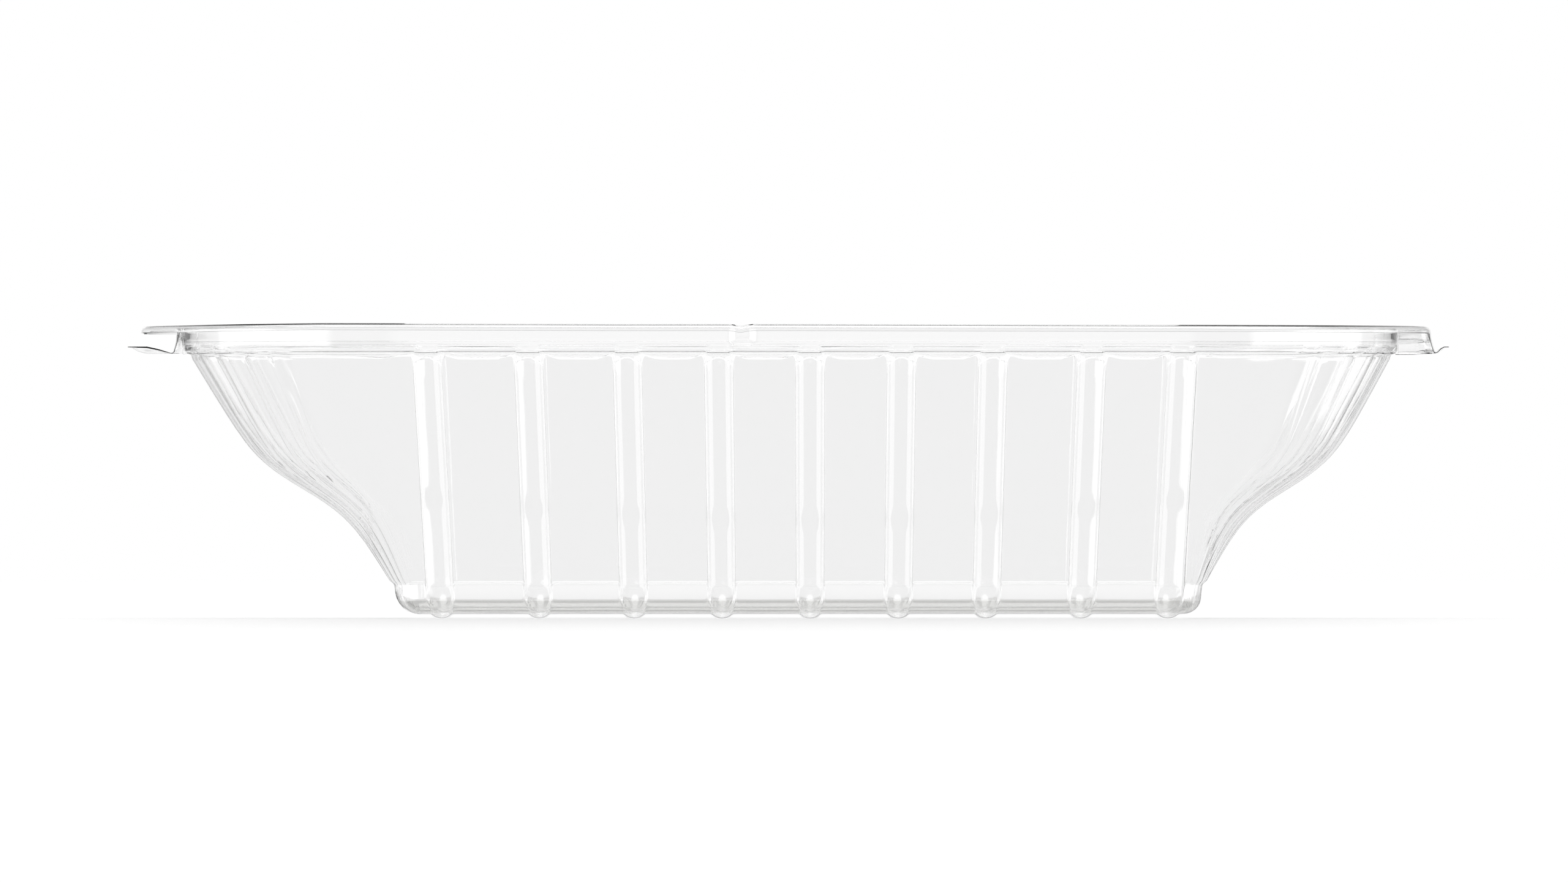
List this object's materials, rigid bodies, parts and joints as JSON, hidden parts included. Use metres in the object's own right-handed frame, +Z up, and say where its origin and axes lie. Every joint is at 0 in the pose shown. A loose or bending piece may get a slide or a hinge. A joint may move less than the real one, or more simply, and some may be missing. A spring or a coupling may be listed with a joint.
{
  "type": "tray",
  "caption": "Clear thermoformed plastic tray: a deep basin with fluted ends, hoop ribs round its long walls and base, a stepped flanged rim, and a pull tab at each end",
  "frame": {"origin": "middle of the tray's footprint, on the table that its hoops stand on", "axes": "+X along the tray towards the end with the shorter pull tab, +Y across it away from the side with the small pocket, +Z up"},
  "size_m": [0.2692, 0.115, 0.06],
  "materials": {
    "clear_sheet": "clear gloss"
  },
  "bodies": {
    "root": {"tray": "clear_sheet"}
  },
  "joints": []
}
